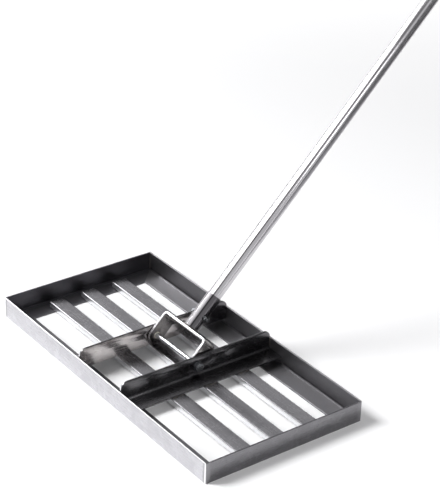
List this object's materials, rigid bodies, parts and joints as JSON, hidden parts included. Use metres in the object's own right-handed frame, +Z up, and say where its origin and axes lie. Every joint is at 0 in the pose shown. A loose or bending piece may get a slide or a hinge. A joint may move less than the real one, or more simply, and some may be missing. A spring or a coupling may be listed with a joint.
{
  "type": "lawn leveling rake",
  "caption": "Flat angle-steel frame with flat leveling bars across it, tilted by a long tube handle on a yoke and cross bolt.",
  "frame": {"origin": "on the ground, under the middle of the front rail's foot", "axes": "+X along the frame's long side, +Y from the front rail to the rear rail and the side the handle leans to, +Z up"},
  "size_m": [0.8, 1.5151, 1.3547],
  "materials": {
    "stainless": "polished stainless steel, fine brushed grain",
    "tube": "bright polished stainless tube",
    "fastener": "bright zinc plated",
    "weld": "rippled weld bead, lightly tinted",
    "bush": "plain nylon",
    "grip": "matt soft sleeve",
    "cap": "satin moulded rubber"
  },
  "bodies": {
    "head": {"front_rail": "stainless", "rear_rail": "stainless", "left_end_rail": "stainless", "right_end_rail": "stainless", "leveling_bar_front": "stainless", "leveling_bar_middle": "stainless", "leveling_bar_rear": "stainless", "cross_member_left": "stainless", "cross_member_right": "stainless", "pivot_bolt": "fastener", "pivot_washer_left": "fastener", "pivot_washer_right": "fastener", "pivot_lock_nut": "fastener"},
    "handle": {"pivot_bush_left": "bush", "pivot_bush_right": "bush", "yoke": "stainless", "handle_socket": "tube", "socket_weld": "weld", "socket_bolt": "fastener", "socket_washer_left": "fastener", "socket_washer_right": "fastener", "socket_nut": "fastener", "handle_tube_lower": "tube", "handle_tube_upper": "tube", "tube_spigot": "tube", "spigot_lower_bolt": "fastener", "spigot_lower_nut": "fastener", "spigot_upper_bolt": "fastener", "spigot_upper_nut": "fastener", "grip": "grip", "end_cap": "cap"}
  },
  "joints": [
    {"name": "handle_pivot", "type": "hinge", "parent": "head", "child": "handle", "pos_m": [0, 0.18, 0.0446], "axis": [1, 0, 0], "range_deg": [-37, 127]}
  ]
}
